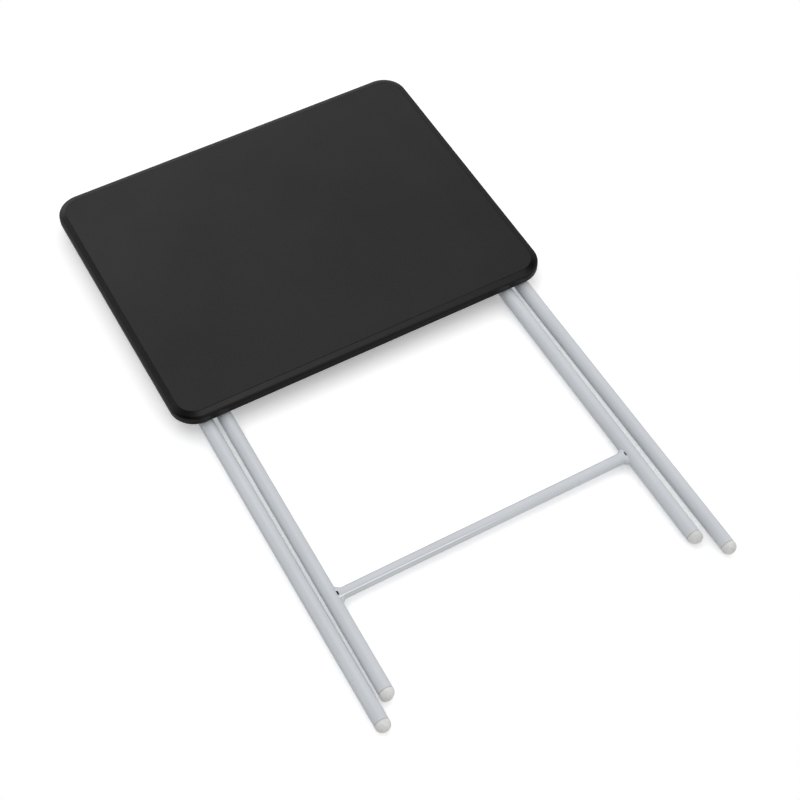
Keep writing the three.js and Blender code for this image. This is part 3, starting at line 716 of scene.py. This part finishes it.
for side, s in (("left", -1), ("right", 1)):
    o = (0, PIVOT_Y + BY, AXIS_Z)
    ax = (s, 0, 0)
    prof = [(split, 0.0), (split, RIVET_R - 0.3), (split + 0.3, RIVET_R), (outer_out + GAP, RIVET_R)] + dome(outer_out + GAP, 1, False)
    v, f = loft(lathe_rings(prof, 40, o, ax, (0, 0, 1)))
    r = outward(mesh_object(f"pivot_rivet_outer_{side}_fine", v, f))
    finish(r, "outer_frame", [f"pivot_rivet_outer_{side}"], STEEL, 35)
    prof = dome(inner_in - GAP, -1, True)[::-1] + [(inner_in - GAP, RIVET_R), (split - 0.8, RIVET_R), (split - 0.5, RIVET_R - 0.3), (split - 0.5, 0.0)]
    v, f = loft(lathe_rings(prof, 40, o, ax, (0, 0, 1)))
    r = outward(mesh_object(f"pivot_rivet_inner_{side}_fine", v, f))
    finish(r, "inner_frame", [f"pivot_rivet_inner_{side}"], STEEL, 35)
    a, b, c = outer_in - GAP, split, 0.25
    prof = [(a, RIVET_R + 0.3), (a, SPACER_R - c), (a - c * 0.3, SPACER_R - c * 0.3), (a - c, SPACER_R), (b + c, SPACER_R), (b + c * 0.3, SPACER_R - c * 0.3), (b, SPACER_R - c), (b, RIVET_R + 0.3)]
    v, f = loft(lathe_rings(prof, 40, o, ax, (0, 0, 1)), close=True)
    w = outward(mesh_object(f"pivot_spacer_{side}_fine", v, f))
    finish(w, "outer_frame", [f"pivot_spacer_{side}"], NYLON_NATURAL, 35)


# ======================================================================================
# Screws: pan head with a cross recess and a rolled thread
# ======================================================================================
def screw(name, x, y, seat_z):
    head = [(-2.20, 0.0), (-2.20, 1.2), (-2.14, 1.9), (-1.98, 2.5), (-1.70, 2.98), (-1.30, 3.32), (-0.85, 3.52), (-0.35, 3.60), (-0.12, 3.58), (0.0, 3.45), (0.0, 1.75), (0.25, 1.5)]
    rings = lathe_rings(head, 36, (x, y, seat_z), (0, 0, 1), (1, 0, 0))
    root, crest, pitch, sides = 1.32, 1.84, 1.45, 36
    rows = 66
    for j in range(rows + 1):
        z = 0.45 + 8.75 * j / rows
        taper = smooth(z / 0.9) * smooth((9.2 - z) / 2.6)
        point = min(1.0, (9.2 - z) / 1.8)
        ring = []
        for i in range(sides):
            th = 2 * math.pi * i / sides
            u = (z / pitch - i / sides) % 1.0
            ridge = max(0.0, 1 - abs(u - 0.5) / 0.26)
            r = max((root * point ** 0.8 + (crest - root) * ridge * taper), 1e-3)
            ring.append((x + r * math.cos(th), y + r * math.sin(th), seat_z + z))
        rings.append(ring)
    v, f = loft(rings)
    ob = outward(mesh_object(name, v, f))
    cutters = []
    for k in (0, 1):
        lo, hi = (2.15, 0.50), (1.15, 0.34)
        r0 = [(a * sx, b * sy) for (a, b) in [lo] for sx, sy in ((1, 1), (-1, 1), (-1, -1), (1, -1))]
        r1 = [(a * sx, b * sy) for (a, b) in [hi] for sx, sy in ((1, 1), (-1, 1), (-1, -1), (1, -1))]
        swap = (lambda p: (p[1], p[0])) if k else (lambda p: p)
        rr = [[(x + swap(p)[0], y + swap(p)[1], seat_z + z) for p in r] for r, z in ((r0, -2.6), (r0, -2.2), (r1, -0.75))]
        cv, cf = loft(rr)
        cutters.append(mesh_object("recess", cv, cf))
    boolean(ob, cutters)
    return ob


n = 1
for sx in (-1, 1):
    for d in (-1, 1):
        ob = screw(f"hinge_strap_screw_{n}_fine", sx * STRAP_X + d * STRAP_SCREW_DX, HINGE_Y + BY + STRAP_SCREW_Y, UNDER_Z - 0.05 - (STRAP_RO - STRAP_RI) - 0.05)
        finish(ob, "tabletop", [f"hinge_strap_screw_{n}"], STEEL, 34)
        n += 1
n = 1
for sx in (-1, 1):
    for d in (-1, 1):
        ob = screw(f"latch_screw_{n}_fine", sx * HOOK_X + d * (HOOK_W / 2 + HOOK_EAR_W / 2), CATCH_Y + BY - (STRAP_RI + HOOK_EAR_D / 2 - 0.5), UNDER_Z - 0.05 - 2.4 - 0.05)
        finish(ob, "tabletop", [f"latch_screw_{n}"], STEEL, 34)
        n += 1


# ======================================================================================
# Hinge straps, latch hooks, glide shoes
# ======================================================================================
def soften(ob, voxel, rounds):
    """Rounds every edge the way a moulding does: even remesh, then a few smoothing passes."""
    m = ob.modifiers.new("remesh", "REMESH")
    m.mode, m.voxel_size, m.adaptivity = "VOXEL", voxel * MM, 0.0
    apply_modifiers(ob)
    m = ob.modifiers.new("smooth", "SMOOTH")
    m.factor, m.iterations = 0.5, rounds
    apply_modifiers(ob)
    return ob


zc = AXIS_Z
z_face = UNDER_Z - 0.05
th = STRAP_RO - STRAP_RI
for side, s in (("left", -1), ("right", 1)):
    y0 = HINGE_Y + BY
    o = [(y0 + STRAP_FLANGE - 1.0, z_face), (y0 + STRAP_RI, z_face)]
    o += [(y0 + a, zc + b) for a, b in arc(0, 0, STRAP_RI, 0, -180, 44)]
    o += [(y0 - STRAP_RI, z_face), (y0 - STRAP_RO, z_face)]
    o += [(y0 + a, zc + b) for a, b in arc(0, 0, STRAP_RO, 180, 360, 52)]
    zf = z_face - th
    o += [(y0 + STRAP_RO, zf - 1.2)] + [(y0 + STRAP_RO + 1.2 + a, zf - 1.2 + b) for a, b in arc(0, 0, 1.2, 180, 90, 6)]
    o += [(y0 + STRAP_FLANGE - 1.0, zf)] + [(y0 + STRAP_FLANGE - 1.0 + a, (z_face + zf) / 2 + b) for a, b in arc(0, 0, th / 2, -90, 90, 10)][1:-1]
    clean = [o[0]]
    for p in o[1:]:
        if math.hypot(p[0] - clean[-1][0], p[1] - clean[-1][1]) > 0.02:
            clean.append(p)
    x = s * STRAP_X
    strap = prism_x(f"hinge_strap_{side}_fine", clean, x - STRAP_W / 2, x + STRAP_W / 2)
    boolean(strap, [rod([(-8, 1.9), (4, 1.9)], 24, (x + d * STRAP_SCREW_DX, y0 + STRAP_SCREW_Y, UNDER_Z), (0, 0, 1), (1, 0, 0)) for d in (-1, 1)])
    bevel(strap, 0.38, 3, 40)
    finish(strap, "tabletop", [f"hinge_strap_{side}"], NYLON_BLACK, 34)

lip_z = 0.0
for side, s in (("left", -1), ("right", 1)):
    y0 = CATCH_Y + BY
    ri_ = STRAP_RI
    o = [(-ri_, z_face), (-ri_, zc)]
    for i in range(1, 25):
        a = math.pi + math.pi / 2 * i / 24
        o.append((ri_ * math.cos(a), zc + ri_ * math.sin(a) + 0.2 * i / 24))
    o += [(HOOK_LIP - 1.5, zc - ri_ + 0.2), (HOOK_LIP, zc - ri_ - 0.6), (HOOK_LIP, lip_z + 0.4), (HOOK_LIP - 0.4, lip_z)]
    outer = -ri_ - HOOK_WALL
    # heel: a full round instead of the two flats
    for i in range(0, 13):
        a = math.radians(-90 - 90 * i / 12)
        o.append((outer + 5.0 + 5.0 * math.cos(a), lip_z + 5.0 + 5.0 * math.sin(a)))
    o += [(outer, z_face)]
    x = s * HOOK_X
    hook = prism_x(f"latch_hook_{side}_fine", [(y0 + a, b) for a, b in o], x - HOOK_W / 2, x + HOOK_W / 2)
    ear_y = y0 - (STRAP_RI + HOOK_EAR_D / 2 - 0.5)
    hw, hd, rr = HOOK_W / 2 + HOOK_EAR_W, HOOK_EAR_D / 2, 3.5
    plan = []
    for cx, cy, a0 in ((hw - rr, hd - rr, 0), (-(hw - rr), hd - rr, 90), (-(hw - rr), -(hd - rr), 180), (hw - rr, -(hd - rr), 270)):
        plan += arc(cx, cy, rr, a0, a0 + 90, 10)
    v, f = loft([[(x + a, ear_y + b, z) for a, b in plan] for z in (z_face - 2.4, z_face)])
    ear = outward(mesh_object("ear", v, f))
    ribs = [prism_x("rib", [(y0 + a, b) for a, b in ((outer + 0.8, z_face), (outer + 0.8, z_face - 12.0), (outer - 6.6, z_face - 2.2), (outer - 6.6, z_face))], x + dx - 1.1, x + dx + 1.1) for dx in (0.0,)]
    boolean(hook, [ear] + ribs, "UNION")
    boolean(hook, [rod([(-8, 1.95), (4, 1.95)], 32, (x + d * (HOOK_W / 2 + HOOK_EAR_W / 2), ear_y, UNDER_Z), (0, 0, 1), (1, 0, 0)) for d in (-1, 1)])
    soften(hook, 0.36, 5)
    finish(hook, "tabletop", [f"latch_hook_{side}"], NYLON_BLACK, 60)

for side, s in (("left", -1), ("right", 1)):
    y0 = INNER_TOP_Y + BY
    cut = TUBE_R
    ai, ao = math.degrees(math.asin(cut / SHOE_RI)), math.degrees(math.asin(cut / SHOE_RO))
    o = [(y0 + a, zc + b) for a, b in arc(0, 0, SHOE_RO, ao, -180 - ao, 64)]
    o += [(y0 + a, zc + b) for a, b in arc(0, 0, SHOE_RI, -180 - ai, ai, 56)]
    x = s * SHOE_X
    shoe = prism_x(f"glide_shoe_{side}_fine", o, x - SHOE_W / 2, x + SHOE_W / 2)
    bevel(shoe, 0.22, 3, 50)
    finish(shoe, "glides", [f"glide_shoe_{side}"], NYLON_NATURAL, 34)


# ======================================================================================
# Stage: floor, light, camera
# ======================================================================================
v, f = [(-9000, -9000, 0), (9000, -9000, 0), (9000, 9000, 0), (-9000, 9000, 0)], [(0, 1, 2, 3)]
floor = mesh_object("floor", v, f)
fm = Nodes("floor_white")
FLOOR_SEEN, FLOOR_BOUNCE, FLOOR_MIRRORED, FLOOR_LIFT = 1.0, 0.70, 0.36, 0.253
fn, fl = fm.mat.node_tree.nodes, fm.mat.node_tree.links
fn.remove(fm.b)
f_out = next(n for n in fn if n.type == "OUTPUT_MATERIAL")
f_path = fn.new("ShaderNodeLightPath")


def f_matt(level):
    n = fn.new("ShaderNodeBsdfDiffuse")
    n.inputs["Color"].default_value = (level, level, level, 1)
    return n


def f_switch(fac, a, b):
    n = fn.new("ShaderNodeMixShader")
    fl.new(fac, n.inputs[0])
    fl.new(a, n.inputs[1])
    fl.new(b, n.inputs[2])
    return n.outputs[0]


f_seen, f_bounce, f_mirrored = f_matt(FLOOR_SEEN), f_matt(FLOOR_BOUNCE), f_matt(FLOOR_MIRRORED)
f_lift, f_add = fn.new("ShaderNodeEmission"), fn.new("ShaderNodeAddShader")
f_lift.inputs["Color"].default_value = (1, 1, 1, 1)
f_lift.inputs["Strength"].default_value = FLOOR_LIFT
fl.new(f_switch(f_path.outputs["Is Camera Ray"], f_bounce.outputs[0], f_seen.outputs[0]), f_add.inputs[0])
fl.new(f_lift.outputs[0], f_add.inputs[1])
f_solid = f_switch(f_path.outputs["Is Glossy Ray"], f_add.outputs[0], f_mirrored.outputs[0])
# To the camera the floor is only there where something stands over it; the rest is as
# white as the backdrop. So what hangs below it, when the legs are out, stays in sight.
f_clear, f_near = fn.new("ShaderNodeBsdfTransparent"), fn.new("ShaderNodeAmbientOcclusion")
f_near.samples = 8
f_near.inputs["Distance"].default_value = 0.30


def f_math(op, a, b, clamp=False):
    n = fn.new("ShaderNodeMath")
    n.operation, n.use_clamp = op, clamp
    for i, v in enumerate((a, b)):
        if isinstance(v, (int, float)):
            n.inputs[i].default_value = v
        else:
            fl.new(v, n.inputs[i])
    return n.outputs[0]


f_open = f_math("MULTIPLY", f_math("SUBTRACT", f_near.outputs["AO"], 0.87), 14.0, clamp=True)
# nor does it hide the frames where they hang below it close to the board: a table that
# stands on its legs has no floor under its top
f_below = fn.new("ShaderNodeAmbientOcclusion")
f_below.samples, f_below.inside = 16, True
f_below.inputs["Distance"].default_value = 0.75
f_hung = f_math("MULTIPLY", f_math("SUBTRACT", 1.0, f_below.outputs["AO"]), 60.0, clamp=True)
f_open = f_math("MULTIPLY", f_math("MAXIMUM", f_open, f_hung), f_path.outputs["Is Camera Ray"])
f_geo = fn.new("ShaderNodeNewGeometry")
f_open = f_math("MAXIMUM", f_open, f_geo.outputs["Backfacing"])
fl.new(f_switch(f_open, f_solid, f_clear.outputs[0]), f_out.inputs["Surface"])
floor.data.materials.append(fm.mat)

# A studio dome: broad overlapping lobes (azimuth, elevation, level for matt light, level
# for mirrored light). All the light is infinitely far away, so the floor stays even.
LOBES = [
    (-180, 90, 1.234, 0.000), (-180, 62, 1.700, 0.000), (-120, 62, 0.850, 0.000), (-60, 62, 0.469, 1.115),
    (0, 62, 0.839, 2.200), (60, 62, 1.806, 1.220), (120, 62, 2.368, 0.000), (-180, 36, 0.300, 0.000),
    (-140, 36, 0.500, 0.000), (-100, 36, 0.856, 0.300), (-60, 36, 1.084, 0.767), (-20, 36, 0.625, 0.300),
    (20, 36, 1.098, 0.300), (60, 36, 1.158, 1.850), (100, 36, 1.309, 2.600), (140, 36, 0.997, 1.300),
    (-180, 12, 0.000, 0.000), (-150, 12, 0.000, 0.000), (-120, 12, 0.347, 0.000), (-90, 12, 1.009, 0.300),
    (-60, 12, 1.346, 0.790), (-30, 12, 1.018, 0.300), (0, 12, 0.739, 0.300), (30, 12, 0.769, 0.300),
    (60, 12, 0.351, 0.344), (90, 12, 0.119, 0.500), (120, 12, 0.000, 0.500), (150, 12, 0.000, 1.200),
]
LOBE_K = 14.0
# smaller cards and flags that only show as reflections: azimuth, elevation, tightness, level
CARDS = [(49, 43, 30.0, -0.74), (86, 54, 30.0, 0.74), (113, 43, 35.0, -1.02), (12, 50, 45.0, -1.20),
         (-20, 85, 60.0, 1.50), (-5, 62, 60.0, -0.85), (142, 79, 55.0, -1.20)]
world = bpy.data.worlds.new("studio")
scene.world = world
world.use_nodes = True
world.cycles.sampling_method = "NONE"
wt = world.node_tree
wt.nodes.clear()


def w_math(op, a, b=None, c=None):
    n = wt.nodes.new("ShaderNodeMath")
    n.operation = op
    for k, v in enumerate((a, b, c)):
        if v is None:
            continue
        if isinstance(v, (int, float)):
            n.inputs[k].default_value = v
        else:
            wt.links.new(v, n.inputs[k])
    return n.outputs[0]


w_dir = wt.nodes.new("ShaderNodeTexCoord").outputs["Generated"]
w_path = wt.nodes.new("ShaderNodeLightPath")
total, matt, mirrored = 0.0, 0.0, 0.0
for az, el, level, level_mirrored in LOBES:
    a, e = math.radians(az), math.radians(el)
    dot = wt.nodes.new("ShaderNodeVectorMath")
    dot.operation = "DOT_PRODUCT"
    wt.links.new(w_dir, dot.inputs[0])
    dot.inputs[1].default_value = (math.cos(e) * math.cos(a), math.cos(e) * math.sin(a), math.sin(e))
    lobe = w_math("EXPONENT", w_math("MULTIPLY_ADD", dot.outputs["Value"], LOBE_K, -LOBE_K))
    total = w_math("ADD", lobe, total)
    matt = w_math("MULTIPLY_ADD", lobe, level, matt)
    mirrored = w_math("MULTIPLY_ADD", lobe, level_mirrored, mirrored)
mirrored = w_math("DIVIDE", mirrored, total)
for az, el, tight, level in CARDS:
    a, e = math.radians(az), math.radians(el)
    dot = wt.nodes.new("ShaderNodeVectorMath")
    dot.operation = "DOT_PRODUCT"
    wt.links.new(w_dir, dot.inputs[0])
    dot.inputs[1].default_value = (math.cos(e) * math.cos(a), math.cos(e) * math.sin(a), math.sin(e))
    card = w_math("EXPONENT", w_math("MULTIPLY_ADD", dot.outputs["Value"], tight, -tight))
    mirrored = w_math("MAXIMUM", w_math("MULTIPLY_ADD", card, level, mirrored), 0.0)
lit = w_math("ADD", w_math("MULTIPLY", mirrored, w_path.outputs["Is Glossy Ray"]),
             w_math("MULTIPLY", w_math("DIVIDE", matt, total), w_math("SUBTRACT", 1.0, w_path.outputs["Is Glossy Ray"])))
# the backdrop itself is plain white
lit = w_math("MAXIMUM", w_math("MULTIPLY", lit, w_math("SUBTRACT", 1.0, w_path.outputs["Is Camera Ray"])), w_path.outputs["Is Camera Ray"])
w_out = wt.nodes.new("ShaderNodeOutputWorld")
w_bg = wt.nodes.new("ShaderNodeBackground")
w_bg.inputs["Color"].default_value = (1.0, 1.0, 1.0, 1.0)
wt.links.new(lit, w_bg.inputs["Strength"])
wt.links.new(w_bg.outputs[0], w_out.inputs["Surface"])

cam_data = bpy.data.cameras.new("camera")
cam_data.lens = 73.101
cam_data.sensor_width = 36.0
cam_data.sensor_fit = "HORIZONTAL"
cam_data.shift_x, cam_data.shift_y = -0.65 / 800, 0.15 / 800
cam_data.clip_start, cam_data.clip_end = 0.05, 60.0
cam = bpy.data.objects.new("camera", cam_data)
scene.collection.objects.link(cam)
x2 = Vector((0.87388227, -0.48613724, -0.00060389))
y2 = Vector((-0.39413275, -0.70776633, -0.58628167))
zc2 = Vector((0.28458594, 0.51257917, -0.81010705))
cam.matrix_world = Matrix((
    (x2.x, -y2.x, -zc2.x, -0.53025),
    (x2.y, -y2.y, -zc2.y, -1.00639),
    (x2.z, -y2.z, -zc2.z, 1.51656),
    (0, 0, 0, 1)))
scene.camera = cam
scene.view_settings.view_transform = "Standard"
scene.view_settings.look = "None"

bpy.context.view_layer.update()
